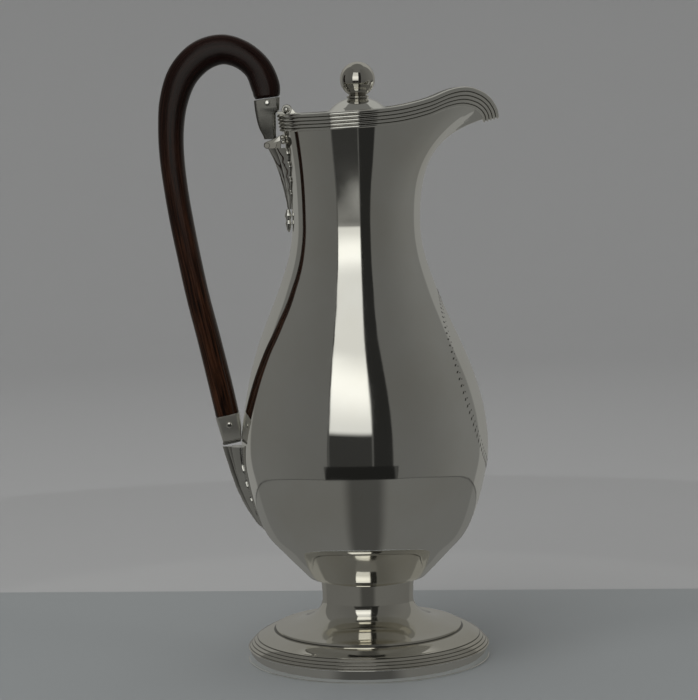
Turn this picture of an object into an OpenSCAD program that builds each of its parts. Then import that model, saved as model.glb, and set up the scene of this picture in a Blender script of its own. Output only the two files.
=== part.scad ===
// Covered silver jug: baluster body on a spreading foot, reeded mouth with a beak spout,
// hinged domed lid with a ball finial, and a looped wooden handle in two pinned sockets.
// +X points to the spout, -X to the handle, +Z up. The origin is the centre of the foot's resting face.

/* [Body] */
// Wall of the raised body
wall = 1.0; // [0.8:0.1:1.2]
// Radius of the neck at its narrowest
neck_r = 32.9; // [32.5:0.1:33.3]
// How far the neck leans from the foot's axis towards the handle
neck_lean = 2.1; // [1.5:0.1:2.5]

/* [Foot] */
// Outer radius of the foot
foot_r = 63; // [60:0.5:66]
// Height of the upright band
foot_band_h = 6.6; // [5:0.2:7]
// Thickness of the foot's sheet
foot_sheet = 1.2; // [1:0.1:1.4]

/* [Mouth] */
// Width of the reeded band
reed_band_w = 8.8; // [8:0.2:9.4]
// Number of reeds
reeds = 5; // [4:1:6]
// Height of one reed over its grooves
reed_h = 0.9; // [0.6:0.1:1]

/* [Lid] */
// Radius of the lid's flange
lid_r = 33; // [32:0.5:33]
// Height of the flange's upper face
lid_z = 282.4; // [282.2:0.1:282.5]
// Radius of the ball finial
ball_r = 9; // [8:0.5:9.5]
// Height of the ball's centre
ball_z = 300.2; // [300:0.1:301]

/* [Hinge] */
// Distance of the hinge axis behind the jug's axis
hinge_x = 36.4; // [36:0.1:36.8]
// Height of the hinge axis
hinge_z = 285.6; // [285.4:0.1:286]
// Outer radius of the knuckles
knuckle_r = 2.5; // [2.3:0.1:2.6]
// Radius of the hinge pin
hinge_pin_r = 1; // [0.8:0.1:1.2]

/* [Handle] */
// Half the handle's thickness across
handle_half_y = 6.4; // [5.5:0.1:7]
// Radius of the socket pegs
peg_r = 1.6; // [1.2:0.1:1.8]

/* [Hidden] */

$fn = 96;
SILVER = [0.80, 0.80, 0.78];
WOOD = [0.20, 0.09, 0.06];

// ---- curves ----

// Slope of the curve through points [u, v] at point i
function slope(p, i) =
    let (a = max(i - 1, 0), b = min(i + 1, len(p) - 1))
    (p[b][1] - p[a][1]) / (p[b][0] - p[a][0]);

// Index of the span of p that holds u
function span(p, u, i = 0) = (i >= len(p) - 2 || u < p[i + 1][0]) ? i : span(p, u, i + 1);

// Smooth curve through the points [u, v]: the value v at u
function curve(p, u) =
    let (i = span(p, u), w = p[i + 1][0] - p[i][0], s = (u - p[i][0]) / w)
    (2 * s * s * s - 3 * s * s + 1) * p[i][1]
    + (s * s * s - 2 * s * s + s) * w * slope(p, i)
    + (3 * s * s - 2 * s * s * s) * p[i + 1][1]
    + (s * s * s - s * s) * w * slope(p, i + 1);

// Eased step from 0 at a to 1 at b
function ease(a, b, u) = let (s = min(max((u - a) / (b - a), 0), 1)) s * s * (3 - 2 * s);

function unit(v) = v / norm(v);

// ---- body ----

neck_z = 227;

// Outer radius of the body, as [height, radius]
body_points = [[42.8, 30.3], [49, 36.4], [56.5, 43.5], [65.5, 51.5], [80, 57.9], [100, 63], [112, 64],
               [127, 62.7], [146, 58.6], [163, 53], [178.5, 46.6], [194.6, 40.1], [212, 34.6],
               [neck_z, neck_r]];
belly_z = 127;
base_z = body_points[0][0];
base_r = body_points[0][1];

function body_r(z) = curve(body_points, z);
function body_x(z) = -neck_lean * ease(belly_z, 182, z);

// The mouth's outline, seen from above and from the side, at angle t from the spout
mouth_mid_x = 16;
mouth_half_x = 56;
function mouth_half_y(c) = 33 - 11 * c * (1.5 - 0.5 * c * c);
rim_heights = [[-12, 284.5], [0, 280.5], [12, 284.5], [23, 289.2], [34, 293], [46, 295.2], [57, 294],
               [70, 289.8], [87, 286.2], [110, 284.5], [140, 283.5], [180, 283.2], [220, 283.5]];
function turn(t) = abs(((t + 180) % 360) - 180);
function rim_point(t) = [mouth_mid_x + mouth_half_x * cos(t), sin(t) * mouth_half_y(cos(t)),
                         curve(rim_heights, turn(t))];

// The wall from neck to rim at angle t is a Bezier curve. These set, by t: its azimuth on the neck,
// its lean from upright at the rim, and how far it runs straight at the neck and at the rim.
rib_azimuths = [[-15, -11], [0, 0], [15, 11], [30, 23], [45, 36], [60, 50], [75, 64], [90, 77], [105, 91],
                [120, 106], [135, 122.5], [150, 141], [165, 160], [180, 180], [195, 200]];
lip_leans = [[-15, 64], [0, 77], [15, 64], [30, 36], [45, 14], [60, 8], [195, 8]];
neck_runs = [[-15, 41.5], [0, 35.5], [15, 41.5], [30, 42], [45, 40], [60, 35], [90, 27], [180, 25],
             [195, 25]];
rim_runs = [[-15, 24], [0, 30], [15, 24], [30, 22], [60, 20], [195, 20]];

function rib_azimuth(t) = t > 180 ? 360 - curve(rib_azimuths, 360 - t) : curve(rib_azimuths, t);
function rib(t) =
    let (rim = rim_point(t), a = rib_azimuth(t), out = [cos(a), sin(a), 0], lean = curve(lip_leans, turn(t)),
         foot = neck_r * out + [-neck_lean, 0, neck_z])
    [foot, foot + [0, 0, curve(neck_runs, turn(t))],
     rim - curve(rim_runs, turn(t)) * (sin(lean) * out + [0, 0, cos(lean)]), rim];
function bezier(p, v) =
    pow(1 - v, 3) * p[0] + 3 * v * pow(1 - v, 2) * p[1] + 3 * v * v * (1 - v) * p[2] + pow(v, 3) * p[3];
function bezier_way(p, v) =
    pow(1 - v, 2) * (p[1] - p[0]) + 2 * v * (1 - v) * (p[2] - p[1]) + v * v * (p[3] - p[2]);
function lip_out(t, v) = unit(cross(bezier(rib(t + 1), v) - bezier(rib(t - 1), v), bezier_way(rib(t), v)));

// A point of the wall above the neck: angle t, share v of the way up, pushed out by d
function lip_point(t, v, d) = bezier(rib(t), v) + d * lip_out(t, v);

// A point of the body below the neck: angle t, height z, pushed out by d
function body_point(t, z, d) =
    let (a = t + (rib_azimuth(t) - t) * ease(belly_z, neck_z, z), r = body_r(z) + d)
    [r * cos(a) + body_x(z), r * sin(a), z];

// Solid made of equal rings of points, closed at both ends
module skin(rings) {
    n = len(rings[0]);
    last = len(rings) - 1;
    sides = [for (i = [0:last - 1], j = [0:n - 1], k = [0, 1])
             let (a = i * n + j, b = i * n + (j + 1) % n)
             k == 0 ? [a, a + n, b] : [b, a + n, b + n]];
    ends = [[for (j = [0:n - 1]) j], [for (j = [n - 1:-1:0]) last * n + j]];
    polyhedron([for (ring = rings, p = ring) p], concat(sides, ends), convexity = 8);
}

// Closed hoop made of equal section outlines, one at each station
module hoop(sections) {
    m = len(sections);
    n = len(sections[0]);
    faces = [for (i = [0:m - 1], j = [0:n - 1], k = [0, 1])
             let (i2 = (i + 1) % m, j2 = (j + 1) % n)
             k == 0 ? [i * n + j, i * n + j2, i2 * n + j] : [i * n + j2, i2 * n + j2, i2 * n + j]];
    polyhedron([for (s = sections, p = s) p], faces, convexity = 8);
}

mouth_step = 6;
mouth_angles = [for (t = [0:mouth_step:360 - mouth_step]) t];
seam_z = belly_z - 0.5;
seam_gap = 0.3;
upper_zs = [belly_z, 137, 147, 157, 167, 177, 187, 197, 207, 217];
lip_vs = [0, 0.14, 0.28, 0.42, 0.56, 0.7, 0.82, 0.92, 1];

// Outline of the upper wall at angle t: up the outside, over the edge and down the inside
function upper_wall(t) =
    concat([body_point(t, belly_z - 1, -seam_gap)],
           [for (z = upper_zs) body_point(t, z, 0)],
           [for (v = lip_vs) lip_point(t, v, 0)],
           [for (i = [len(lip_vs) - 1:-1:0]) lip_point(t, lip_vs[i], -wall)],
           [for (i = [len(upper_zs) - 1:-1:0]) body_point(t, upper_zs[i], -wall)],
           [body_point(t, belly_z - 1, seam_gap - wall)]);

belly_zs = [base_z, 45.5, 49, 52.5, 56.5, 61, 65.5, 70, 75, 80, 86, 93, 100, 106, 112, 118, seam_z];

module body_shell() {
    color(SILVER) union() {
        // the bowl, turned about the foot's axis
        rotate_extrude()
            polygon(concat([[0, base_z]],
                           [for (z = belly_zs) [body_r(z), z]],
                           [for (i = [len(belly_zs) - 1:-1:1]) [body_r(belly_zs[i]) - wall, belly_zs[i]]],
                           [[base_r - wall, base_z + wall], [0, base_z + wall]]));
        // the shoulder, neck and lip
        hoop([for (t = mouth_angles) upper_wall(t)]);
    }
}

// Share v of the rib at which the reeded band ends, a band's width below the edge
function band_foot(t) =
    let (p = rib(t), speed = 3 * norm(p[3] - p[2]), bend = norm(p[3] - 2 * p[2] + p[1]))
    1 - reed_band_w / (speed - 3 * bend * reed_band_w / speed);

band_gap = 0.12;
band_base = 0.9;
// Height of the reeded face at share s of the band's width
function reed_face(s) = band_base + reed_h * abs(sin(180 * reeds * s));
reed_stations = [for (i = [0:2 * reeds]) i / (2 * reeds)];

module rim_band() {
    color(SILVER)
        hoop([for (t = mouth_angles)
              let (foot = band_foot(t))
              concat([for (s = reed_stations) lip_point(t, foot + (1 - foot) * s, reed_face(s))],
                     [lip_point(t, 1, band_gap), lip_point(t, (1 + foot) / 2, band_gap),
                      lip_point(t, foot, band_gap)])]);
}

ledge_top = lid_z - 1.2;
ledge_h = 1;
ledge_r = 31;
ledge_front = 14;
ledge_gap = 0.5;

module mouth_ledge() {
    color(SILVER)
        translate([0, 0, ledge_top - ledge_h])
        difference() {
            linear_extrude(ledge_h)
                polygon([for (t = mouth_angles)
                         let (p = lip_point(t, 0.93, -wall - ledge_gap))
                         [min(p[0], ledge_front), p[0] > ledge_front ? sign(p[1]) * ledge_r : p[1]]]);
            translate([0, 0, -1]) cylinder(r = ledge_r, h = ledge_h + 2);
        }
}

// ---- foot ----

// Gap filled by solder between two pieces
solder = 0.1;
// Outer outline of the spool: [radius, height], from the body down to the skirt's edge
spool_points = [[25.4, base_z - solder], [24.7, 41.9], [24.3, 40.5], [24, 38], [23.8, 35], [23.7, 31.5],
                [24, 29], [25.2, 26.2], [27.2, 23.8], [30, 21.6], [33.5, 19.7], [38, 18.2], [43, 17.2],
                [48.5, 16.6]];
skirt_edge_r = 48.5;
step_r = 49.6;
step_z = 15.2;
reed_ring_in = 57;
reed_ring_z = 12.2;

module foot_spool() {
    // the waist is thinned sideways, the spreading skirt mostly downwards
    inner = [for (i = [len(spool_points) - 1:-1:0])
             let (across = spool_points[i][1] > 28 ? 1 : 0.55, down = spool_points[i][1] > 28 ? 0 : 0.85)
             spool_points[i] - foot_sheet * [across, down]];
    color(SILVER) rotate_extrude() polygon(concat(spool_points, inner));
}

// Convex ring between the skirt and the reeded ring
function step_arc(s) = [step_r + (reed_ring_in - step_r) * s,
                        reed_ring_z + (step_z - reed_ring_z) * (1 - pow(s, 1.6))];

module foot_step_ring() {
    lap = 3;
    top = 15.5;
    steps = [for (i = [0:6]) step_arc(i / 6)];
    color(SILVER)
        rotate_extrude()
        polygon(concat([[skirt_edge_r - lap, top], [step_r, top]], steps,
                       [for (i = [6:-1:0]) steps[i] - [0, foot_sheet]],
                       [[skirt_edge_r - lap, step_z - foot_sheet]]));
}

foot_grooves = 4;
groove_depth = 0.35;

// Convex reeded slope from the step ring to the band, with a groove between each pair of reeds
function reed_slope(s) = [reed_ring_in + (foot_r - reed_ring_in) * pow(s, 0.75),
                          reed_ring_z - (reed_ring_z - foot_band_h) * s];

module foot_reeded_ring() {
    count = foot_grooves * 4;
    face = [for (i = [0:count]) reed_slope(i / count)
            - (i % 4 == 2 ? groove_depth : 0) * [0.7, 0.7]];
    color(SILVER)
        rotate_extrude()
        polygon(concat(face, [[foot_r - 1.6, foot_band_h], [reed_ring_in, reed_ring_z - 2]]));
}

module foot_band() {
    lip = 0.5;
    color(SILVER)
        rotate_extrude()
        polygon([[foot_r - foot_sheet, 0], [foot_r, 0], [foot_r, lip], [foot_r - 0.3, lip + 0.3],
                 [foot_r - 0.3, foot_band_h - 0.4], [foot_r, foot_band_h],
                 [foot_r - foot_sheet, foot_band_h]]);
}

// ---- hinge ----

knuckle_gap = 0.3;
mid_knuckle_half = 2.8;
barrel_half = 7.5;
pin_half = 8;
pin_ball_r = 1.7;
pin_slack = 0.05;

// Cylinder along Y on the hinge axis, from y = a to y = b
module on_hinge(r, a, b) {
    translate([-hinge_x, a, hinge_z]) rotate([-90, 0, 0]) cylinder(r = r, h = b - a);
}

module hinge_plate() {
    plate_z = 283.35;
    plate_x = -41.4;
    plate_t = 1.2;
    slot_h = 12;
    inner = mid_knuckle_half + knuckle_gap;
    color(SILVER)
        difference() {
            union() {
                translate([plate_x, -barrel_half, plate_z])
                    cube([-hinge_x - plate_x, 2 * barrel_half, plate_t]);
                on_hinge(knuckle_r, -barrel_half, barrel_half);
            }
            on_hinge(knuckle_r + knuckle_gap, -inner, inner);
            on_hinge(hinge_pin_r + pin_slack, -barrel_half - 1, barrel_half + 1);
            // room for the lid's knuckle and strap, open to the front
            translate([-hinge_x, -inner, hinge_z - slot_h / 2]) cube([2 * knuckle_r, 2 * inner, slot_h]);
        }
}

module hinge_pin() {
    color(SILVER) on_hinge(hinge_pin_r, -pin_half, pin_half);
}

module hinge_pin_balls() {
    color(SILVER)
        for (side = [-1, 1])
            difference() {
                translate([-hinge_x, side * (pin_half + 0.9), hinge_z]) sphere(r = pin_ball_r);
                on_hinge(hinge_pin_r + 0.02, -pin_half, pin_half);
                translate([-hinge_x - 3, -barrel_half, hinge_z - 3]) cube([6, 2 * barrel_half, 6]);
            }
}

// ---- lid ----

lid_sheet = 0.9;
stud_r = 1.5;
stud_hole_r = 1.55;
lid_dome = [[0, 290.8], [3, 290.7], [6, 290.3], [8.5, 289.4], [10.7, 288.2], [13, 286.4], [15.2, 284.4],
            [17.2, 283.1], [20, 282.6], [24, lid_z + 0.05], [lid_r, lid_z]];

// Bore for the stud, from the flange's height up to the ball's centre
module stud_bore() {
    translate([0, 0, lid_z]) cylinder(r = stud_hole_r, h = ball_z - lid_z);
}

module lid_shell() {
    count = len(lid_dome) - 1;
    color(SILVER)
        difference() {
            rotate_extrude()
                polygon(concat(lid_dome, [for (i = [count:-1:0]) lid_dome[i] - [0, lid_sheet]]));
            stud_bore();
        }
}

bezel_r = 30.2;
bezel_z = 277.8;

module lid_bezel() {
    top = lid_z - lid_sheet;
    color(SILVER)
        rotate_extrude()
        polygon([[bezel_r - wall, bezel_z], [bezel_r, bezel_z], [bezel_r, top], [bezel_r - wall, top]]);
}

module lid_hinge_leaf() {
    leaf_tip = -21;
    leaf_t = 0.9;
    color(SILVER)
        difference() {
            union() {
                on_hinge(knuckle_r, -mid_knuckle_half, mid_knuckle_half);
                // the strap from the knuckle down to the flange
                translate([0, mid_knuckle_half, 0])
                    rotate([90, 0, 0])
                    linear_extrude(2 * mid_knuckle_half)
                    polygon([[-hinge_x, hinge_z - knuckle_r], [-33.4, lid_z + 0.1], [-29, lid_z + 0.1],
                             [-29, lid_z + leaf_t], [-31.8, lid_z + 1.4], [-34, hinge_z + 0.6]]);
                // the leaf on the flange, drawn to a point
                translate([0, 0, lid_z + 0.1])
                    linear_extrude(leaf_t)
                    polygon([[-31.5, -mid_knuckle_half], [-28, -3.6], [-25, -2.8], [leaf_tip, 0],
                             [-25, 2.8], [-28, 3.6], [-31.5, mid_knuckle_half]]);
            }
            on_hinge(hinge_pin_r + pin_slack, -5, 5);
        }
}

collar_z = 290.75;

module finial_collar() {
    color(SILVER)
        difference() {
            rotate_extrude()
                polygon([[0, collar_z + 0.05], [3, 290.75], [5.2, 290.55], [5.7, 291.1], [5.5, 291.7],
                         [4.6, 292], [4.2, 292.5], [4.7, 293.2], [0, 293.2]]);
            translate([0, 0, ball_z]) sphere(r = ball_r);
            stud_bore();
        }
}

module finial_ball() {
    color(SILVER)
        difference() {
            translate([0, 0, ball_z]) sphere(r = ball_r);
            stud_bore();
        }
}

nut_h = 2;
nut_z = 287.6;

module finial_stud() {
    color(SILVER) translate([0, 0, nut_z - 1]) cylinder(r = stud_r, h = ball_z - nut_z + 0.5);
}

module finial_nut() {
    color(SILVER)
        difference() {
            translate([0, 0, nut_z]) cylinder(r = 3.2, h = nut_h, $fn = 6);
            stud_bore();
        }
}

// ---- handle ----

// Centre line and width of the handle: [x, z, width], from the upper socket over the top and down
handle_line = [[-46.45, 291.6, 13.2], [-47.2, 298, 14.8], [-51, 307, 14.4], [-59, 313.9, 14.6],
               [-69.3, 316.7, 15.4], [-80.2, 313.2, 16.2], [-89.2, 304, 15.8], [-94.2, 291, 14.6],
               [-96, 277, 13.3], [-95.9, 262, 12.7], [-94.3, 246, 12.3], [-91.8, 229, 12.2],
               [-88.5, 210.5, 12], [-84.5, 190, 12], [-79.6, 169, 12.1], [-74.3, 145, 12.3],
               [-71, 129, 12.2]];

peg_gap = 0.02;

// Smooth value of column c of the centre line at place s, counted in points
function along(s, c) = curve([for (i = [0:len(handle_line) - 1]) [i, handle_line[i][c]]], s);

handle_sides = 12;
rings_per_point = 3;
handle_rings = rings_per_point * (len(handle_line) - 1);

// Outline of the handle at place s: an oval, slightly squared, across the centre line
function handle_ring(s) =
    let (step = 0.02, a = max(s - step, 0), b = min(s + step, len(handle_line) - 1),
         way = unit([along(b, 0) - along(a, 0), along(b, 1) - along(a, 1)]),
         half = along(s, 2) / 2)
    [for (i = [0:handle_sides - 1])
     let (u = 360 * i / handle_sides,
          c = sign(cos(u)) * pow(abs(cos(u)), 0.8) * half,
          y = sign(sin(u)) * pow(abs(sin(u)), 0.8) * handle_half_y)
     [along(s, 0) + c * way[1], y, along(s, 1) - c * way[0]]];

// Places of the two sockets: the centre of the wood's end, and the lean of the socket's axis
upper_end = [-46.45, 0, 291.6];
upper_lean = -7;
lower_end = [-71, 0, 129];
lower_lean = -11.5;
socket_y = 12.4;
socket_gap = 0.4;
// Depth of each peg under the wood's end
upper_peg = -2.6;
lower_peg = -5.2;
// Tenons on the wood's ends: the upper one is narrower and set back, clear of the rim
tenon_depth = 12;
tenon_shoulder = 1;
tenon_d = 8.6;
tenon_cut = 1.5;
tenon_gap = 0.1;
// Half length of a cut that passes right through a socket
cut_half = 10;
upper_tenon_w = 6;
upper_tenon_x = -1;
lower_tenon_w = 9;

// Bar with cut corners, w across and d deep, from z = 0 to h
module bar(w, d, h, cut) {
    linear_extrude(h)
        polygon([[-w / 2 + cut, -d / 2], [w / 2 - cut, -d / 2], [w / 2, -d / 2 + cut], [w / 2, d / 2 - cut],
                 [w / 2 - cut, d / 2], [-w / 2 + cut, d / 2], [-w / 2, d / 2 - cut], [-w / 2, -d / 2 + cut]]);
}

// Tenon at one end of the wood, w wide, centred x off the socket's axis, with a gap all round
module tenon(end, lean, w, x, gap) {
    translate(end)
        rotate([0, lean, 0])
        translate([x, 0, tenon_shoulder - tenon_depth - gap])
        bar(w + 2 * gap, tenon_d + 2 * gap, tenon_depth + gap, tenon_cut);
}

// Peg hole or peg along Y, set at the given depth from a socket's mouth
module across(end, lean, depth, r, half) {
    translate(end)
        rotate([0, lean, 0])
        translate([0, -half, depth])
        rotate([-90, 0, 0])
        cylinder(r = r, h = 2 * half);
}

module handle_wood() {
    color(WOOD)
        difference() {
            union() {
                skin([for (i = [0:handle_rings]) handle_ring(i / rings_per_point)]);
                tenon(upper_end, upper_lean, upper_tenon_w, upper_tenon_x, 0);
                tenon(lower_end, lower_lean, lower_tenon_w, 0, 0);
            }
            across(upper_end, upper_lean, upper_peg, peg_r + peg_gap, cut_half);
            across(lower_end, lower_lean, lower_peg, peg_r + peg_gap, cut_half);
        }
}

relief_h = 40;

// Room for the neck, the reeded band and the hinge plate in front of the upper socket
module rim_relief() {
    top = 284.75;
    translate([-2.5, 0, top - relief_h]) cylinder(r = 39.6, h = relief_h);
}

slab_h = 0.4;

// Thin slab of a socket across its axis, w wide and d deep, with its upper face at the given depth
module socket_slab(end, lean, w, d, depth) {
    translate(end) rotate([0, lean, 0]) translate([0, 0, depth - slab_h]) bar(w, d, slab_h, 2);
}

module upper_socket() {
    color(SILVER)
        difference() {
            hull() {
                socket_slab(upper_end, upper_lean, 13.2, socket_y, -socket_gap);
                socket_slab(upper_end + [-0.1, 0, 0], 0, 11.8, socket_y, -8);
                socket_slab([-45, 0, upper_end[2]], 0, 7.2, 9, -20.6);
            }
            tenon(upper_end, upper_lean, upper_tenon_w, upper_tenon_x, tenon_gap);
            rim_relief();
            across(upper_end, upper_lean, upper_peg, peg_r + peg_gap, cut_half);
        }
}

module upper_socket_pin() {
    color(SILVER) across(upper_end, upper_lean, upper_peg, peg_r, socket_y / 2 + 0.3);
}

collar_bottom = -15;
collar_h = 1.5;

// Room for the belly beside the lower socket
module belly_relief() {
    top = 130;
    translate([0, 0, top - relief_h]) cylinder(r = 64.25, h = relief_h);
}

module lower_socket() {
    color(SILVER)
        difference() {
            hull() {
                socket_slab(lower_end, lower_lean, 12, socket_y, -socket_gap);
                socket_slab(lower_end, lower_lean, 10.4, 10, collar_bottom + collar_h + solder + slab_h);
            }
            tenon(lower_end, lower_lean, lower_tenon_w, 0, tenon_gap);
            across(lower_end, lower_lean, lower_peg, peg_r + peg_gap, cut_half);
            belly_relief();
        }
}

module lower_socket_pin() {
    color(SILVER) across(lower_end, lower_lean, lower_peg, peg_r, socket_y / 2 + 0.3);
}

module lower_collar() {
    color(SILVER)
        difference() {
            translate(lower_end) rotate([0, lower_lean, 0]) translate([0, 0, collar_bottom])
                bar(11, 10.6, collar_h, 2);
            belly_relief();
        }
}

// ---- leaf mounts ----

leaf_gap = 0.15;
leaf_columns = 8;

// Depth of a leaf's relief across its width, u from -1 to 1: a midrib and a hollow on each side
function leaf_relief(u) = (1 - u * u) * (0.72 + 0.28 * cos(540 * u));

// One outline of a leaf that lies on the body at height z, w half-wide and d deep at the midrib
function leaf_ring(z, x_mid, r, w, d) =
    let (r_in = r + leaf_gap,
         back = [for (i = [0:leaf_columns])
                 let (a = 180 - w / r_in * (180 / PI) * (2 * i / leaf_columns - 1))
                 [x_mid + r_in * cos(a), r_in * sin(a), z]],
         front = [for (i = [leaf_columns:-1:0])
                  let (u = 2 * i / leaf_columns - 1, a = 180 - w / r_in * (180 / PI) * u,
                       k = r_in + 0.5 + d * leaf_relief(u))
                  [x_mid + k * cos(a), k * sin(a), z]])
    concat(back, front);

// Upper leaf: [height, depth at the midrib, half width], lobes first wide, then narrow
upper_leaf_points = [[234.5, 1.6, 2], [239, 2.2, 4.6], [242.5, 2.8, 6.6], [244.5, 3.1, 5.6],
                     [249, 4, 8.8], [251.5, 4.4, 7.4], [256.5, 5.6, 10.4], [259, 6.2, 8.8],
                     [263, 7.6, 10.6], [266, 8.6, 9.4]];

// Radius of the neck's outer face on the handle's side at height z
function back_r(z) =
    -neck_lean - bezier(rib(180), back_share(z, 0, 1, 0))[0];
function back_share(z, low, high, n) =
    let (mid = (low + high) / 2)
    n > 12 ? mid : (bezier(rib(180), mid)[2] < z ? back_share(z, mid, high, n + 1)
                                                 : back_share(z, low, mid, n + 1));

module upper_leaf() {
    color(SILVER)
        skin([for (q = upper_leaf_points) leaf_ring(q[0], -neck_lean, back_r(q[0]), q[2], q[1])]);
}

module upper_leaf_beads() {
    beads = [[232.3, 1.9], [228.6, 1.6], [225.6, 1.2]];
    color(SILVER)
        for (b = beads)
            translate([-neck_lean - back_r(max(b[0], neck_z)) - b[1] - leaf_gap, 0, b[0]]) sphere(r = b[1]);
}

module upper_scroll() {
    scroll_x = -46.6;
    scroll_y = 5;
    scroll_r = 2;
    color(SILVER)
        difference() {
            union() {
                translate([scroll_x, -scroll_y, 268.4])
                    rotate([-90, 0, 0]) cylinder(r = scroll_r, h = 2 * scroll_y);
                translate([scroll_x, -scroll_y, 266.6]) cube([7.6, 2 * scroll_y, 3.8]);
                for (side = [-1, 1])
                    translate([-40.6, side * (scroll_y + 0.6), 271]) sphere(r = 1.9);
            }
            translate([-2.1, 0, 260]) cylinder(r1 = 35.7, r2 = 37.6, h = 14);
        }
}

// Lower leaf: [height, distance of its outer edge from the jug's axis, half width]
lower_leaf_points = [[68, 53.9, 1], [71, 57, 2.2], [75, 59.8, 3.4], [79, 62.3, 3.6], [83, 64.4, 5],
                     [86, 65.8, 4.4], [91, 67.9, 6.2], [94.5, 69, 5.2], [99, 70.5, 6.6], [103, 71.6, 5.6],
                     [107.5, 73, 5.6], [112, 74.2, 5.2]];

module lower_leaf() {
    edge = 0.8;
    least = 0.4;
    color(SILVER)
        skin([for (q = lower_leaf_points)
              leaf_ring(q[0], 0, body_r(q[0]), q[2], max(q[1] - body_r(q[0]) - edge, least))]);
}

body_shell();
rim_band();
mouth_ledge();
foot_spool();
foot_step_ring();
foot_reeded_ring();
foot_band();
hinge_plate();
hinge_pin();
hinge_pin_balls();
handle_wood();
upper_socket();
upper_socket_pin();
upper_scroll();
upper_leaf();
upper_leaf_beads();
lower_socket();
lower_socket_pin();
lower_collar();
lower_leaf();
lid_shell();
lid_bezel();
lid_hinge_leaf();
finial_collar();
finial_ball();
finial_stud();
finial_nut();
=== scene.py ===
"""Looks of the covered silver jug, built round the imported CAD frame.

The silver pieces are rebuilt as fine smooth meshes from the same dimensions as the CAD model, because a
mirror finish shows every facet. Lengths in the shape code are millimetres, in the CAD model's frame, and
mesh_piece() turns them into metres. +X points to the spout, -X to the handle, +Z up. The camera, the stage
and the lamps are placed in metres.
"""

import math

import bmesh
import bpy
from mathutils import Matrix, Vector


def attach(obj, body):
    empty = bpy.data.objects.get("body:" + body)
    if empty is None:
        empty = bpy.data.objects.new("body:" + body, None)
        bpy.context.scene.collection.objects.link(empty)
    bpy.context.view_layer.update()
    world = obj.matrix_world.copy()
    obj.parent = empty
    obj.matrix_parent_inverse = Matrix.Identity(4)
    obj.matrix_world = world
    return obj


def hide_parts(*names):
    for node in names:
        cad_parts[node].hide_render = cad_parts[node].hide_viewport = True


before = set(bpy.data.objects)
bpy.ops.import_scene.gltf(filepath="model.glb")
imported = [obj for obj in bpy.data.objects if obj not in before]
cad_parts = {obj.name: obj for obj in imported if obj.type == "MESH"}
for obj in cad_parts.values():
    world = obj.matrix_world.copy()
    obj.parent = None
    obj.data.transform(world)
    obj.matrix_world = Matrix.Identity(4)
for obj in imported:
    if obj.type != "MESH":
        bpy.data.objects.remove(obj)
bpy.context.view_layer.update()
MM = 0.001

# ---- dimensions, as in the CAD model ----

WALL = 1.0
NECK_R = 32.9
NECK_LEAN = 2.1
NECK_Z = 227.0
BELLY_Z = 127.0
SHOULDER_Z = 182.0
# the bowl and body, (height, radius); the last point lies past the neck, to keep the curve upright there
BODY_POINTS = [(42.8, 30.3), (49, 36.4), (56.5, 43.5), (65.5, 51.5), (80, 57.9), (100, 63), (112, 64),
               (127, 62.7), (146, 58.6), (163, 53), (178.5, 46.6), (194.6, 40.1), (212, 34.6),
               (NECK_Z, NECK_R), (242, 34.6)]
# the bottom of the bowl, (radius, height)
BOWL_BOTTOM = [(6, 42.8), (14, 42.8), (22, 42.8), (28.5, 42.8), (30.1, 42.85)]
BOWL_INSET = 0.6
MOUTH_MID_X = 16.0
MOUTH_HALF_X = 56.0
MOUTH_HALF_Y = 33
MOUTH_TAPER = 11
# curves round the mouth, (degrees from the spout, value)
RIM_HEIGHTS = [(-12, 284.5), (0, 280.5), (12, 284.5), (23, 289.2), (34, 293), (46, 295.2), (57, 294),
               (70, 289.8), (87, 286.2), (110, 284.5), (140, 283.5), (180, 283.2), (220, 283.5)]
RIB_AZIMUTHS = [(-15, -11), (0, 0), (15, 11), (30, 23), (45, 36), (60, 50), (75, 64), (90, 77), (105, 91),
                (120, 106), (135, 122.5), (150, 141), (165, 160), (180, 180), (195, 200)]
LIP_LEANS = [(-15, 64), (0, 77), (15, 64), (30, 36), (45, 14), (60, 8), (195, 8)]
NECK_RUNS = [(-15, 41.5), (0, 35.5), (15, 41.5), (30, 42), (45, 40), (60, 35), (90, 27), (180, 25), (195, 25)]
RIM_RUNS = [(-15, 24), (0, 30), (15, 24), (30, 22), (60, 20), (195, 20)]
REED_BAND_W = 8.8
REED_BAND_GAP = 0.12
REEDS = 5
REED_BASE = 0.9
REED_H = 0.9
FOOT_R = 63.0
FOOT_BAND_H = 6.6
FOOT_SHEET = 1.2
LID_R = 33.0
LID_Z = 282.4
LID_SHEET = 0.9
BALL_R = 9.0
BALL_Z = 300.2
HINGE_X = 36.4
HINGE_Z = 285.6
KNUCKLE_R = 2.5
MID_KNUCKLE_HALF = 2.8
BARREL_HALF = 7.5
PIN_HALF = 8.0
HANDLE_HALF_Y = 6.4
# the handle's centre line from the upper to the lower end, (x, z, width)
HANDLE_LINE = [(-46.45, 291.6, 13.2), (-47.2, 298, 14.8), (-51, 307, 14.4), (-59, 313.9, 14.6),
               (-69.3, 316.7, 15.4), (-80.2, 313.2, 16.2), (-89.2, 304, 15.8), (-94.2, 291, 14.6),
               (-96, 277, 13.3), (-95.9, 262, 12.7), (-94.3, 246, 12.3), (-91.8, 229, 12.2),
               (-88.5, 210.5, 12), (-84.5, 190, 12), (-79.6, 169, 12.1), (-74.3, 145, 12.3), (-71, 129, 12.2)]
UPPER_END = Vector((-46.45, 0, 291.6))
UPPER_LEAN = math.radians(-7)
UPPER_PEG = -2.6
LOWER_END = Vector((-71, 0, 129))
LOWER_LEAN = math.radians(-11.5)
LOWER_PEG = -5.2
SOCKET_Y = 12.4
PEG_R = 1.6

# ---- fineness of the meshes ----

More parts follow.
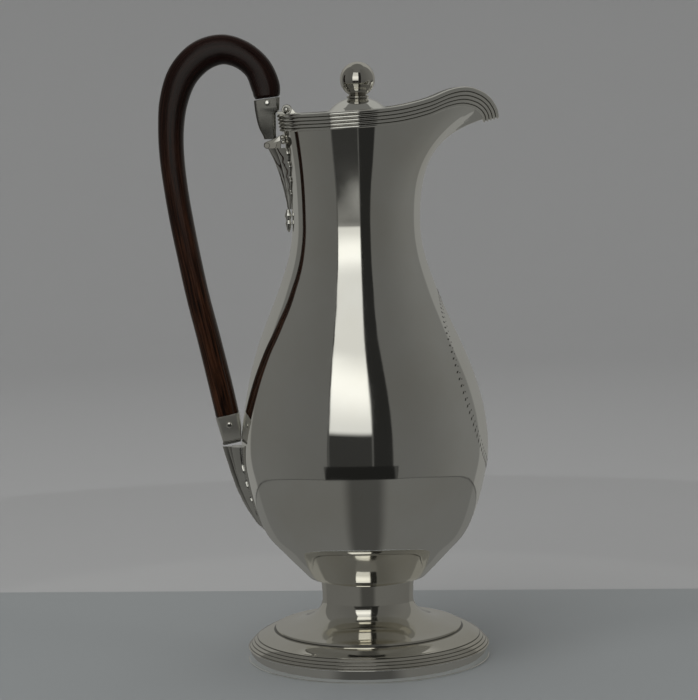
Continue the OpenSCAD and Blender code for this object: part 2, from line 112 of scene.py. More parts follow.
TURNED_STEPS = 256
BODY_COLUMNS = 240
BAND_COLUMNS = 300
STATIONS_PER_REED = 10

# ---- curves ----


def curve(points, u):
    """Smooth curve through (u, value) points, with each point's slope taken from its neighbours."""
    last = len(points) - 1
    i = 0
    while i < last - 1 and u >= points[i + 1][0]:
        i += 1

    def slope(k):
        a, b = points[max(k - 1, 0)], points[min(k + 1, last)]
        return (b[1] - a[1]) / (b[0] - a[0])

    w = points[i + 1][0] - points[i][0]
    s = (u - points[i][0]) / w
    return (
        (2 * s**3 - 3 * s**2 + 1) * points[i][1]
        + (s**3 - 2 * s**2 + s) * w * slope(i)
        + (3 * s**2 - 2 * s**3) * points[i + 1][1]
        + (s**3 - s**2) * w * slope(i + 1)
    )


def ease(a, b, u):
    """Soft step from 0 at a to 1 at b, whichever is the larger."""
    s = min(max((u - a) / (b - a), 0), 1)
    return s * s * (3 - 2 * s)


def spread(a, b, n):
    """n + 1 evenly spaced values from a to b."""
    return [a + (b - a) * i / n for i in range(n + 1)]


def turn(t):
    """Angle from the +X direction, from 0 to 180 degrees."""
    return abs((t + 180) % 360 - 180)


def cosd(a):
    return math.cos(math.radians(a))


def sind(a):
    return math.sin(math.radians(a))


def body_r(z):
    """Radius of the body's outer face."""
    return curve(BODY_POINTS, z)


def body_x(z):
    """The body's centre, which drifts towards the handle between the belly and the shoulder."""
    return -NECK_LEAN * ease(BELLY_Z, SHOULDER_Z, z)


def rim_point(t):
    """Point of the lip at angle t round the mouth, which narrows to the spout."""
    c = cosd(t)
    half_y = MOUTH_HALF_Y - MOUTH_TAPER * c * (1.5 - 0.5 * c * c)
    return Vector((MOUTH_MID_X + MOUTH_HALF_X * c, sind(t) * half_y, curve(RIM_HEIGHTS, turn(t))))


def rib_azimuth(t):
    return 360 - curve(RIB_AZIMUTHS, 360 - t) if t > 180 else curve(RIB_AZIMUTHS, t)


def rib(t):
    """The four Bezier points of the wall at angle t round the mouth, from the neck to the rim."""
    a, s = rib_azimuth(t), turn(t)
    out = Vector((cosd(a), sind(a), 0))
    lean = curve(LIP_LEANS, s)
    rim = rim_point(t)
    foot = NECK_R * out + Vector((-NECK_LEAN, 0, NECK_Z))
    run = sind(lean) * out + Vector((0, 0, cosd(lean)))
    return foot, foot + Vector((0, 0, curve(NECK_RUNS, s))), rim - curve(RIM_RUNS, s) * run, rim


def bezier(p, v):
    w = 1 - v
    return w**3 * p[0] + 3 * v * w**2 * p[1] + 3 * v**2 * w * p[2] + v**3 * p[3]


def bezier_way(p, v):
    """Direction of the curve at share v."""
    w = 1 - v
    return w**2 * (p[1] - p[0]) + 2 * v * w * (p[2] - p[1]) + v**2 * (p[3] - p[2])


class Rib:
    """One upright line of the neck and lip, with its outward direction."""

    def __init__(self, t):
        self.line = rib(t)
        self.side = (rib((t - 1) % 360), rib((t + 1) % 360))

    def point(self, v, d=0.0):
        """Point at share v of the way from the neck to the rim, raised by d."""
        across = bezier(self.side[1], v) - bezier(self.side[0], v)
        out = across.cross(bezier_way(self.line, v)).normalized()
        return bezier(self.line, v) + d * out

    def band_foot(self):
        """Share of the line at which the reeded band begins."""
        p = self.line
        speed = 3 * (p[3] - p[2]).length
        bend = (p[3] - 2 * p[2] + p[1]).length
        return 1 - REED_BAND_W / (speed - 3 * bend * REED_BAND_W / speed)


def body_point(t, z, d):
    """Point of the body below the neck, raised by d."""
    a = t + (rib_azimuth(t) - t) * ease(BELLY_Z, NECK_Z, z)
    r = body_r(z) + d
    return Vector((r * cosd(a) + body_x(z), r * sind(a), z))


# ---- meshes ----


def mesh_piece(name, points, faces, body, slot, material, node=None, tone=None, sharp=40, uv=None):
    """A piece from points in mm: shaded smooth except at edges sharper than the given angle."""
    mesh = bpy.data.meshes.new(name)
    mesh.from_pydata([tuple(c * MM for c in p) for p in points], [], faces)
    mesh.validate()
    attribute = mesh.attributes.new("tone", "FLOAT", "POINT")
    if tone:
        attribute.data.foreach_set("value", tone)
    if uv:
        layer = mesh.uv_layers.new(name="along")
        for loop in mesh.loops:
            layer.data[loop.index].uv = uv[loop.vertex_index]
    bm = bmesh.new()
    bm.from_mesh(mesh)
    bmesh.ops.recalc_face_normals(bm, faces=bm.faces)
    limit = math.radians(sharp)
    for face in bm.faces:
        face.smooth = True
    for edge in bm.edges:
        edge.smooth = len(edge.link_faces) == 2 and edge.calc_face_angle(0) < limit
    bm.to_mesh(mesh)
    bm.free()
    piece = bpy.data.objects.new(name, mesh)
    bpy.context.scene.collection.objects.link(piece)
    mesh.materials.append(material)
    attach(piece, body)
    if node:
        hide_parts(node)


def grid_faces(columns, rows, close_columns, close_rows):
    """Four-sided faces between points stored column by column."""
    faces = []
    for i in range(columns if close_columns else columns - 1):
        for j in range(rows if close_rows else rows - 1):
            i2, j2 = (i + 1) % columns, (j + 1) % rows
            faces.append((i * rows + j, i2 * rows + j, i2 * rows + j2, i * rows + j2))
    return faces


def hoop(columns):
    """Points and faces of a closed hoop: each column is one closed section outline."""
    points = [p for column in columns for p in column]
    return points, grid_faces(len(columns), len(columns[0]), True, True)


def skin(rings):
    """Points and faces of a solid through equal rings, closed with a fan at both ends."""
    n = len(rings[0])
    points = [p for ring in rings for p in ring]
    faces = grid_faces(len(rings), n, False, True)
    for k, ring in ((0, rings[0]), (len(rings) - 1, rings[-1])):
        centre = len(points)
        points.append(sum(ring, Vector((0, 0, 0))) / n)
        faces += [(k * n + j, k * n + (j + 1) % n, centre) for j in range(n)]
    return points, faces


def turned(outline, steps=TURNED_STEPS):
    """Points and faces of a closed outline [(radius, height), ...] turned about the Z axis."""
    points, rings = [], []
    for r, z in outline:
        count = steps if r > 1e-6 else 1
        rings.append((len(points), count))
        points += [Vector((r * cosd(360 * i / steps), r * sind(360 * i / steps), z)) for i in range(count)]
    faces = []
    for (a, na), (b, nb) in zip(rings, rings[1:] + rings[:1]):
        if na == 1 and nb == 1:
            continue
        for i in range(steps):
            i2 = (i + 1) % steps
            if na == 1:
                faces.append((a, b + i2, b + i))
            elif nb == 1:
                faces.append((a + i, a + i2, b))
            else:
                faces.append((a + i, a + i2, b + i2, b + i))
    return points, faces


def moved(points, matrix):
    return [matrix @ Vector(p) for p in points]


def joined(*parts):
    """Several (points, faces) solids as one."""
    points, faces = [], []
    for part_points, part_faces in parts:
        base = len(points)
        points += part_points
        faces += [tuple(base + i for i in face) for face in part_faces]
    return points, faces


def ball(centre, r, steps=48):
    """A sphere turned about the Z axis."""
    arc = [(r * sind(a), -r * cosd(a)) for a in spread(0, 180, steps // 2)]
    arc[0] = (0, arc[0][1])
    arc[-1] = (0, arc[-1][1])
    points, faces = turned(arc, steps)
    return [p + Vector(centre) for p in points], faces


def rounded(outline, r, steps=4):
    """The closed outline with each corner rounded off to about radius r."""
    out = []
    n = len(outline)
    for i in range(n):
        p = Vector(outline[i])
        a, b = Vector(outline[i - 1]) - p, Vector(outline[(i + 1) % n]) - p
        cut = min(r, 0.45 * a.length, 0.45 * b.length)
        start, end = p + a.normalized() * cut, p + b.normalized() * cut
        for s in spread(0, 1, steps):
            out.append(tuple((1 - s) ** 2 * start + 2 * s * (1 - s) * p + s * s * end))
    return out


# ---- materials ----

# the dark colour that the tone attribute mixes in: painted shade, with tarnish in the grooves as well
TARNISH_AND_SHADE = (0.06, 0.055, 0.045)
WOOD_DARK = ((0.006, 0.0024, 0.0018), (0.019, 0.0065, 0.0043))
WOOD_WARM = ((0.008, 0.0035, 0.002), (0.08, 0.028, 0.011))
WOOD_PORE = (0.003, 0.002, 0.002)


def new_material(name):
    """An empty material with a Principled shader, and its parts."""
    material = bpy.data.materials.new(name)
    material.use_nodes = True
    nodes, links = material.node_tree.nodes, material.node_tree.links
    nodes.clear()
    shader = nodes.new("ShaderNodeBsdfPrincipled")
    output = nodes.new("ShaderNodeOutputMaterial")
    links.new(shader.outputs["BSDF"], output.inputs["Surface"])
    return material, nodes, links, shader


def noise(nodes, links, scale, detail, vector, roughness=0.5):
    node = nodes.new("ShaderNodeTexNoise")
    node.inputs["Scale"].default_value = scale
    node.inputs["Detail"].default_value = detail
    node.inputs["Roughness"].default_value = roughness
    links.new(vector, node.inputs["Vector"])
    return node.outputs["Fac"]


def remap(nodes, links, value, from_low, from_high, to_low, to_high):
    """The value, mapped from one range to another and kept inside it."""
    node = nodes.new("ShaderNodeMapRange")
    node.inputs["From Min"].default_value = from_low
    node.inputs["From Max"].default_value = from_high
    node.inputs["To Min"].default_value = to_low
    node.inputs["To Max"].default_value = to_high
    links.new(value, node.inputs["Value"])
    return node.outputs["Result"]


def stretched(nodes, links, output, scale):
    """Coordinates scaled along each axis."""
    node = nodes.new("ShaderNodeMapping")
    node.inputs["Scale"].default_value = scale
    links.new(output, node.inputs["Vector"])
    return node.outputs["Vector"]


def mixed(nodes, links, amount, low, high):
    """Colour mix: low and high are colours or sockets, amount is a socket."""
    node = nodes.new("ShaderNodeMix")
    node.data_type = "RGBA"
    links.new(amount, node.inputs["Factor"])
    for key, colour in (("A", low), ("B", high)):
        socket = [s for s in node.inputs if s.name == key and s.type == "RGBA"][0]
        if isinstance(colour, tuple):
            socket.default_value = (*colour, 1)
        else:
            links.new(colour, socket)
    return [s for s in node.outputs if s.type == "RGBA"][0]


def bump(nodes, links, height, distance, strength, below=None):
    node = nodes.new("ShaderNodeBump")
    node.inputs["Distance"].default_value = distance
    node.inputs["Strength"].default_value = strength
    links.new(height, node.inputs["Height"])
    if below is not None:
        links.new(below, node.inputs["Normal"])
    return node.outputs["Normal"]


def silver(name, colour, toned, low_rough, high_rough, wave=0.0004):
    """Old polished silver: faint toning, soft unevenness and fine polishing lines; painted dark in places.

    The dark places are the points with a high value in the mesh's own "tone" attribute: painted shade in
    grooves, flutes, seams and hollows, under the finial ball and in the engraved cuts, with tarnish in the
    grooves as well.
    """
    material, nodes, links, shader = new_material(name)
    place = nodes.new("ShaderNodeTexCoord").outputs["Object"]
    shader.inputs["Metallic"].default_value = 1.0
    tarnish_and_shade = nodes.new("ShaderNodeAttribute")
    tarnish_and_shade.attribute_name = "tone"
    patches = remap(nodes, links, noise(nodes, links, 22, 4, place), 0.42, 0.7, 0, 1)
    face = mixed(nodes, links, patches, colour, toned)
    dark = mixed(nodes, links, tarnish_and_shade.outputs["Fac"], face, TARNISH_AND_SHADE)
    links.new(dark, shader.inputs["Base Color"])
    rough = remap(nodes, links, noise(nodes, links, 60, 5, place), 0.35, 0.7, low_rough, high_rough)
    links.new(rough, shader.inputs["Roughness"])
    soft = bump(nodes, links, noise(nodes, links, 26, 1, place), wave, 0.5)
    lines = noise(nodes, links, 900, 2, stretched(nodes, links, place, (1, 1, 0.06)))
    links.new(bump(nodes, links, lines, 0.00001, 0.25, soft), shader.inputs["Normal"])
    return material


def wood_material():
    """Dark polished hardwood: grain runs along the handle, redder and lighter on the lower run."""
    material, nodes, links, shader = new_material("handle_hardwood")
    uv = nodes.new("ShaderNodeUVMap")
    uv.uv_map = "along"
    along = uv.outputs["UV"]
    fibres = noise(nodes, links, 1.0, 6, stretched(nodes, links, along, (46, 3.2, 1)), 0.6)
    pores = noise(nodes, links, 1.0, 2, stretched(nodes, links, along, (150, 14, 1)))
    figure = noise(nodes, links, 1.0, 3, stretched(nodes, links, along, (6, 1.5, 1)))
    place = nodes.new("ShaderNodeSeparateXYZ")
    links.new(nodes.new("ShaderNodeTexCoord").outputs["Object"], place.inputs["Vector"])
    low_run = remap(nodes, links, place.outputs["Z"], 0.30, 0.17, 0, 1)
    dark = mixed(nodes, links, remap(nodes, links, fibres, 0.35, 0.7, 0, 1), *WOOD_DARK)
    warm = mixed(nodes, links, remap(nodes, links, fibres, 0.38, 0.66, 0, 1), *WOOD_WARM)
    base = mixed(nodes, links, low_run, dark, warm)
    pored = mixed(nodes, links, remap(nodes, links, pores, 0.6, 0.72, 0, 0.8), base, WOOD_PORE)
    figured = mixed(nodes, links, remap(nodes, links, figure, 0.5, 0.75, 0, 0.5), pored, dark)
    links.new(figured, shader.inputs["Base Color"])
    links.new(remap(nodes, links, fibres, 0.3, 0.7, 0.19, 0.33), shader.inputs["Roughness"])
    shader.inputs["Specular IOR Level"].default_value = 0.2
    shader.inputs["Coat Weight"].default_value = 0.1
    shader.inputs["Coat Roughness"].default_value = 0.14
    fine = bump(nodes, links, fibres, 0.00012, 0.35)
    links.new(bump(nodes, links, pores, 0.0001, 0.3, fine), shader.inputs["Normal"])
    return material


def plain_material(name, colour, roughness):
    material, _, _, shader = new_material(name)
    shader.inputs["Base Color"].default_value = (*colour, 1)
    shader.inputs["Roughness"].default_value = roughness
    return material


# name, colour, toned colour, lowest and highest roughness, height of the waves in metres
SILVER = silver("polished_silver", (0.93, 0.925, 0.89), (0.88, 0.865, 0.81), 0.035, 0.085)
FOOT_SILVER = silver("warm_silver", (0.84, 0.82, 0.76), (0.76, 0.73, 0.65), 0.045, 0.1)
CAST = silver("cast_silver", (0.90, 0.895, 0.86), (0.80, 0.78, 0.72), 0.10, 0.2, 0.0002)
INSIDE = silver("unpolished_silver", (0.72, 0.71, 0.67), (0.6, 0.58, 0.53), 0.28, 0.45)
SOCKET_SILVER = silver("socket_silver", (0.46, 0.455, 0.43), (0.38, 0.37, 0.34), 0.18, 0.28, 0.0002)
LOW_SOCKET_SILVER = silver("lower_socket_silver", (0.9, 0.895, 0.86), (0.8, 0.78, 0.72), 0.34, 0.42,
                           0.0002)
WOOD = wood_material()

# ---- body, rim and foot ----


def build_body():
    """The raised shell: up the outside, over a rounded edge and down the inside, with a closed bottom."""
    heights = spread(43, NECK_Z - 1, 80)
    shares = spread(0, 0.985, 34)
    columns = []
    for i in range(BODY_COLUMNS):
        t = 360 * i / BODY_COLUMNS
        line = Rib(t)
        column = [Vector((r * cosd(t), r * sind(t), z)) for r, z in BOWL_BOTTOM]
        column += [body_point(t, z, 0) for z in heights]
        column += [line.point(v, 0) for v in shares]
        column += [line.point(1, -share * WALL) for share in (0.15, 0.5, 0.85)]
        column += [line.point(v, -WALL) for v in reversed(shares)]
        column += [body_point(t, z, -WALL) for z in reversed(heights)]
        for r, z in reversed(BOWL_BOTTOM):
            column.append(Vector(((r - BOWL_INSET) * cosd(t), (r - BOWL_INSET) * sind(t), z + WALL)))
        columns.append(column)
    rows = len(columns[0])
    points = [p for column in columns for p in column]
    faces = grid_faces(BODY_COLUMNS, rows, True, False)
    for row in (0, rows - 1):
        centre = len(points)
        points.append(Vector((0, 0, columns[0][row].z)))
        for i in range(BODY_COLUMNS):
            i2 = (i + 1) % BODY_COLUMNS
            faces.append((i * rows + row, i2 * rows + row, centre))
    mesh_piece("body_shell_fine", points, faces, "root", "silver", SILVER, "body_shell")


def build_rim_band():
    """The reeded wire: rounded reeds between narrow grooves, on a section that follows the lip.

    The grooves are painted dark: painted shade, with tarnish as well.
    """
    stations = spread(0, 1, REEDS * STATIONS_PER_REED)
    columns, tone = [], []
    for i in range(BAND_COLUMNS):
        line = Rib(360 * i / BAND_COLUMNS)
        foot = line.band_foot()
        column = []
        for s in stations:
            height = abs(math.sin(math.pi * REEDS * s)) ** 0.6
            column.append(line.point(foot + (1 - foot) * s, REED_BASE + REED_H * height))
            # painted shade and tarnish, darkest in the grooves between the reeds
            tone.append(min(1, 1.3 * max(0, 1 - height * 1.7)) if 0 < s < 1 else 0)
        column += [line.point(v, REED_BAND_GAP) for v in (1, (1 + foot) / 2, foot)]
        tone += [0, 0, 0]
        columns.append(column)
    points, faces = hoop(columns)
    mesh_piece("rim_band_fine", points, faces, "root", "silver", SILVER, "rim_band", tone, sharp=60)


# the foot's stem and skirt, (radius, height)
SPOOL = [(25.4, 42.7), (24.7, 41.9), (24.3, 40.5), (24, 38), (23.8, 35), (23.7, 31.5), (24, 29), (25.2, 26.2),
         (27.2, 23.8), (30, 21.6), (33.5, 19.7), (38, 18.2), (43, 17.2), (48.5, 16.6)]
STEP_R, STEP_Z = 49.6, 15.2
REED_RING_IN, REED_RING_Z = 57.0, 12.2
# the four turned grooves, as shares of the reeded ring's width
FOOT_GROOVES = (0.12, 0.37, 0.62, 0.87)
FOOT_GROOVE_HALF = 0.03
FOOT_GROOVE_DEPTH = 0.3


def smooth_line(points, per_span):
    """A smooth line through points, with per_span steps in each span."""
    xs = [(i, p[0]) for i, p in enumerate(points)]
    ys = [(i, p[1]) for i, p in enumerate(points)]
    return [(curve(xs, s), curve(ys, s)) for s in spread(0, len(points) - 1, per_span * (len(points) - 1))]


def ring_tones(tone):
    """The tone of each point of a turned outline, for all its points round the axis."""
    return [v for v in tone for _ in range(TURNED_STEPS)]


def step_arc(s):
    """(radius, height) on the domed step, at share s of the way out."""
    return STEP_R + (REED_RING_IN - STEP_R) * s, REED_RING_Z + (STEP_Z - REED_RING_Z) * (1 - s**1.6)


def build_foot_spool():
    outer = smooth_line(SPOOL, 6)
    inner = [(r - 1.1, z) if z > 28 else (r - 0.6, z - 1) for r, z in outer[::4]][::-1]
    points, faces = turned(outer + [(48.5, 15.55)] + inner[1:])
    mesh_piece("foot_spool_fine", points, faces, "root", "silver", FOOT_SILVER, "foot_spool")


def build_foot_step():
    """The domed step outside the skirt, with painted shade where the two meet."""
    join = [(45.5, 15.5), (48.9, 15.5), (49.3, 15.45), (49.55, 15.3)]
    top = join + [step_arc(s) for s in spread(0, 1, 24)]
    under = [(r, z - FOOT_SHEET) for r, z in top[:3:-3]] + [(45.5, 14)]
    points, faces = turned(top + under)
    # painted shade along the seam with the skirt
    tone = [1, 1, 0.9, 0.5] + [0] * (len(top + under) - len(join))
    mesh_piece("foot_step_ring_fine", points, faces, "root", "silver", FOOT_SILVER, "foot_step_ring",
               ring_tones(tone))


def build_foot_reeds():
    """The sloping ring with turned grooves, painted dark in them: painted shade, with tarnish as well."""
    face, tone = [], []
    for s in spread(0, 1, 128):
        r = REED_RING_IN + (FOOT_R - REED_RING_IN) * s**0.75
        z = REED_RING_Z - (REED_RING_Z - FOOT_BAND_H) * s
        near = min(abs(s - g) for g in FOOT_GROOVES)
        depth = max(0, 1 - near / FOOT_GROOVE_HALF) ** 0.7
        face.append((r - FOOT_GROOVE_DEPTH * depth, z - FOOT_GROOVE_DEPTH * depth))
        # painted shade and tarnish, by the depth of each groove
        tone.append(depth)
    back = [(FOOT_R - 1.6, FOOT_BAND_H), (REED_RING_IN, REED_RING_Z - 2)]
    points, faces = turned(face + back)
    tones = ring_tones(tone + [0] * len(back))
    mesh_piece("foot_reeded_ring_fine", points, faces, "root", "silver", FOOT_SILVER, "foot_reeded_ring",
               tones, 60)


def build_foot_band():
    """The upright band, with a bead at the table and a soft upper edge."""
    bead = [(FOOT_R - 0.1, 0), (FOOT_R, 0.1), (FOOT_R, 0.5), (FOOT_R - 0.12, 0.62), (FOOT_R - 0.3, 0.7)]
    upper_edge = [(FOOT_R - 0.3, FOOT_BAND_H - 0.35), (FOOT_R - 0.2, FOOT_BAND_H - 0.15),
                  (FOOT_R - 0.05, FOOT_BAND_H)]
    inside = [(FOOT_R - FOOT_SHEET, FOOT_BAND_H), (FOOT_R - FOOT_SHEET, 0)]
    points, faces = turned(bead + upper_edge + inside)
    mesh_piece("foot_band_fine", points, faces, "root", "silver", SILVER, "foot_band", sharp=30)


# ---- lid and hinge ----

# the dome, (radius, height)
LID_DOME = [(0, 290.8), (3, 290.7), (6, 290.3), (8.5, 289.4), (10.7, 288.2), (13, 286.4), (15.2, 284.4),
            (17.2, 283.1), (20, 282.6), (24, LID_Z + 0.05), (LID_R, LID_Z)]
STUD_HOLE_R = 1.55
COLLAR_BEAD_R = 5.0
COLLAR_BEAD_Z = 291.2


def build_lid_shell():
    dome = smooth_line(LID_DOME, 8)[1:]
    top = [(STUD_HOLE_R, 290.77)] + [p for p in dome if p[0] > STUD_HOLE_R + 0.05]
    under = [(r, z - LID_SHEET) for r, z in reversed(top)]
    rim = [(LID_R - 0.2, LID_Z), (LID_R, LID_Z - 0.3), (LID_R, LID_Z - 0.6), (LID_R - 0.2, LID_Z - LID_SHEET)]
    points, faces = turned(top[:-1] + rim + under[1:])
    mesh_piece("lid_shell_fine", points, faces, "lid", "silver", SILVER, "lid_shell")


def build_finial():
    """The ball on its turned collar, with painted shade: the collar evenly dark, the ball darker towards the
    seam between them.
    """
    cup = [(STUD_HOLE_R, 290.8), (3, 290.78), (4.9, 290.6)]
    bead = [(COLLAR_BEAD_R + 0.75 * sind(a), COLLAR_BEAD_Z - 0.62 * cosd(a)) for a in spread(20, 165, 10)]
    neck = smooth_line([(4.9, 291.9), (4.35, 292.3), (4.3, 292.7), (4.75, 293.1)], 4)
    points, faces = turned(cup + bead + neck + [(STUD_HOLE_R, 292.6)], 96)
    # painted shade: the collar evenly dark
    tone = [0.4] * len(points)
    mesh_piece("finial_collar_fine", points, faces, "lid", "silver", FOOT_SILVER, "finial_collar", tone)
    points, faces = ball((0, 0, BALL_Z), BALL_R, 128)
    # painted shade: the ball darker towards its underside
    tone = [0.15 + 0.3 * ease(BALL_Z + 1, BALL_Z - 4, p[2]) for p in points]
    mesh_piece("finial_ball_fine", points, faces, "lid", "silver", FOOT_SILVER, "finial_ball", tone)


def barrel(a, b, r, bevel=0.25):
    """Bevelled cylinder on the hinge axis from y = a to y = b."""
    outline = [(0, 0), (r - bevel, 0), (r, bevel), (r, b - a - bevel), (r - bevel, b - a), (0, b - a)]
    points, faces = turned(outline, 48)
    to_axis = Matrix.Translation((-HINGE_X, a, HINGE_Z)) @ Matrix.Rotation(math.radians(-90), 4, "X")
    return moved(points, to_axis), faces


def plate(outline, low, high, axis="Y", bevel=0.2):
    """Flat plate with softened edges: outline in the plane across axis, from low to high."""
    rings = []
    centre = sum((Vector(p) for p in outline), Vector((0, 0))) / len(outline)
    for level, inset in ((low, bevel), (low + bevel, 0), (high - bevel, 0), (high, bevel)):
        ring = []
        for p in outline:
            q = Vector(p)
            q += (centre - q).normalized() * inset
            ring.append(Vector((q.x, level, q.y)) if axis == "Y" else Vector((q.x, q.y, level)))
        rings.append(ring)
    return skin(rings)


# the hinge plate's outer edge and the inner edge of its middle bar (x), its underside and top (z)
PLATE_X, PLATE_BAR_X = -41.4, -39.6
PLATE_LOW, PLATE_TOP = 283.35, 284.55
KNUCKLE_GAP = 0.3
PIN_BALL_R = 1.7
PIN_BALL_OUT = 0.9
# outline of the lid's hinge leaf, (x, y)
HINGE_LEAF = [(-31.5, -2.8), (-28, -3.6), (-25, -2.8), (-21, 0), (-25, 2.8), (-28, 3.6), (-31.5, 2.8)]


def plate_section(inner_x):
    """The hinge plate's section from its outer edge to inner_x."""
    corners = [(PLATE_X, PLATE_LOW), (inner_x, PLATE_LOW), (inner_x, PLATE_TOP), (PLATE_X, PLATE_TOP)]
    return rounded(corners, 0.3, 3)


def build_hinge_plate():
    """The plate on the rim: a knuckle on an arm at each side, joined by a narrow bar."""
    side = MID_KNUCKLE_HALF + KNUCKLE_GAP
    parts = [barrel(side, BARREL_HALF, KNUCKLE_R), barrel(-BARREL_HALF, -side, KNUCKLE_R)]
    arm = plate_section(-HINGE_X)
    parts += [plate(arm, side, BARREL_HALF), plate(arm, -BARREL_HALF, -side)]
    parts.append(plate(plate_section(PLATE_BAR_X), -side - 0.1, side + 0.1))
    points, faces = joined(*parts)
    mesh_piece("hinge_plate_fine", points, faces, "root", "silver", SOCKET_SILVER, "hinge_plate")

    balls = [ball((-HINGE_X, s * (PIN_HALF + PIN_BALL_OUT), HINGE_Z), PIN_BALL_R) for s in (-1, 1)]
    points, faces = joined(*balls)
    mesh_piece("hinge_pin_balls_fine", points, faces, "root", "silver", SILVER, "hinge_pin_balls")


def build_hinge_leaf():
    """The lid's leaf: the middle knuckle, a strap down to the lid and a flat pointed end."""
    knuckle = barrel(-MID_KNUCKLE_HALF, MID_KNUCKLE_HALF, KNUCKLE_R)
    strap = plate([(-HINGE_X, HINGE_Z - KNUCKLE_R), (-33.4, LID_Z + 0.1), (-29, LID_Z + 0.1),
                   (-29, LID_Z + 1), (-31.8, LID_Z + 1.4), (-34, HINGE_Z + 0.6)],
                  -MID_KNUCKLE_HALF, MID_KNUCKLE_HALF)
    flat_leaf = plate(rounded(HINGE_LEAF, 1.2), LID_Z + 0.1, LID_Z + 1, "Z", 0.35)
    points, faces = joined(knuckle, strap, flat_leaf)
    mesh_piece("lid_hinge_leaf_fine", points, faces, "lid", "silver", CAST, "lid_hinge_leaf")


# ---- handle ----

HANDLE_SIDES = 56
HANDLE_RINGS = 320
# below 1 squares the oval section
HANDLE_POWER = 0.8
RIDGE_ANGLE = 128
RIDGE_WIDTH = 11
RIDGE_HEIGHT = 0.035
HANDLE_BEVEL = 1.2


def squared(value):
    return math.copysign(abs(value) ** HANDLE_POWER, value)


def handle_frame(s):
    """Centre, direction and half width of the handle at place s, counted in HANDLE_LINE points."""
    last = len(HANDLE_LINE) - 1
    column = [[(i, p[c]) for i, p in enumerate(HANDLE_LINE)] for c in range(3)]
    a, b = max(s - 0.02, 0), min(s + 0.02, last)
    way = Vector((curve(column[0], b) - curve(column[0], a), 0, curve(column[1], b) - curve(column[1], a)))
    centre = Vector((curve(column[0], s), 0, curve(column[1], s)))
    return centre, way.normalized(), curve(column[2], s) / 2


def build_handle():
    """The wooden loop: a slightly squared oval with a soft ridge along each side of its back."""
    rings, uv, length, before = [], [], 0.0, None
    for k in range(HANDLE_RINGS + 1):
        s = k * (len(HANDLE_LINE) - 1) / HANDLE_RINGS
        centre, way, half = handle_frame(s)
        length += (centre - before).length if before else 0
        before = centre
        out = Vector((way.z, 0, -way.x))
        edge = min(1, 0.9 + 0.1 * length / HANDLE_BEVEL)
        ring = []
        for i in range(HANDLE_SIDES):
            u = 360 * i / HANDLE_SIDES
            ridge = 1 + RIDGE_HEIGHT * math.exp(-(((turn(u) - RIDGE_ANGLE) / RIDGE_WIDTH) ** 2))
            y = squared(sind(u)) * HANDLE_HALF_Y * ridge * edge
            ring.append(centre + out * (squared(cosd(u)) * half * ridge * edge) + Vector((0, y, 0)))
            uv.append((i / HANDLE_SIDES, length / 100))
        rings.append(ring)
    points, faces = skin(rings)
    uv += [(0.5, 0), (0.5, length / 100)]
    mesh_piece("handle_wood_fine", points, faces, "root", "wood", WOOD, "handle_wood", uv=uv)


# ---- sockets ----


def octagon(w, d, cut):
    """A w by d rectangle with cut corners."""
    x, y = w / 2, d / 2
    return [(cut - x, -y), (x - cut, -y), (x, cut - y), (x, y - cut),
            (x - cut, y), (cut - x, y), (-x, y - cut), (-x, cut - y)]


def section(w, d, cut, place, lean):
    """A cut-cornered ring of width w and depth d, at place, leaning by lean about Y."""
    tilt = Matrix.Translation(place) @ Matrix.Rotation(lean, 4, "Y")
    return [tilt @ Vector((x, y, 0)) for x, y in rounded(octagon(w, d, cut), 0.35, 3)]


def on_axis(end, lean, depth):
    """Point on a socket's axis, depth above the handle's end."""
    return Vector(end) + Matrix.Rotation(lean, 3, "Y") @ Vector((0, 0, depth))


# the upper socket's outer and neck-side edges in the side view, (z, x)
SOCKET_LEFT = [(269, -47.9), (272, -48.7), (276.4, -50.8), (283.7, -52.4), (291.2, -53.1)]
SOCKET_RIGHT = [(270, -42.2), (276, -42.15), (282.4, -40.7), (291.9, -39.8)]
SOCKET_NECK_SIDE = -42.15
SOCKET_TOP_Z = 291.0
SOCKET_LENGTH = 20.4
# the lower socket's rings, (width, depth, cut corner, place on the axis)
LOW_SOCKET_RINGS = [(8.2, 8.6, 0.9, -0.4), (11.7, 12.1, 1.2, -0.2), (12.0, 12.4, 1.2, -0.45),
                    (11.2, 11.2, 1.1, -7), (10.4, 10.0, 1.0, -13.1), (10.1, 9.7, 1.0, -13.35)]
COLLAR_RINGS = [(10.4, 10.0, 1.2, -13.5), (11, 10.6, 1.2, -13.8), (11, 10.6, 1.2, -14.6),
                (10.6, 10.2, 1.2, -15)]
BELLY_CLEAR_R = 64.25


def off_belly(p):
    """The point, pushed out to the belly's face where it would lie inside the belly."""
    away = math.hypot(p.x, p.y)
    if away > BELLY_CLEAR_R:
        return p
    return Vector((p.x * BELLY_CLEAR_R / away, p.y * BELLY_CLEAR_R / away, p.z))


def peg(end, lean, depth):
    """The domed peg heads on both sides of a socket."""
    half = SOCKET_Y / 2 + 0.3
    outline = [(0, -half)] + [(PEG_R * sind(a), -half + 0.45 * (1 - cosd(a))) for a in spread(15, 90, 5)]
    outline += [(r, -z) for r, z in reversed(outline)]
    points, faces = turned(outline, 40)
    across = Matrix.Translation(on_axis(end, lean, depth)) @ Matrix.Rotation(math.radians(90), 4, "X")
    return moved(points, across), faces


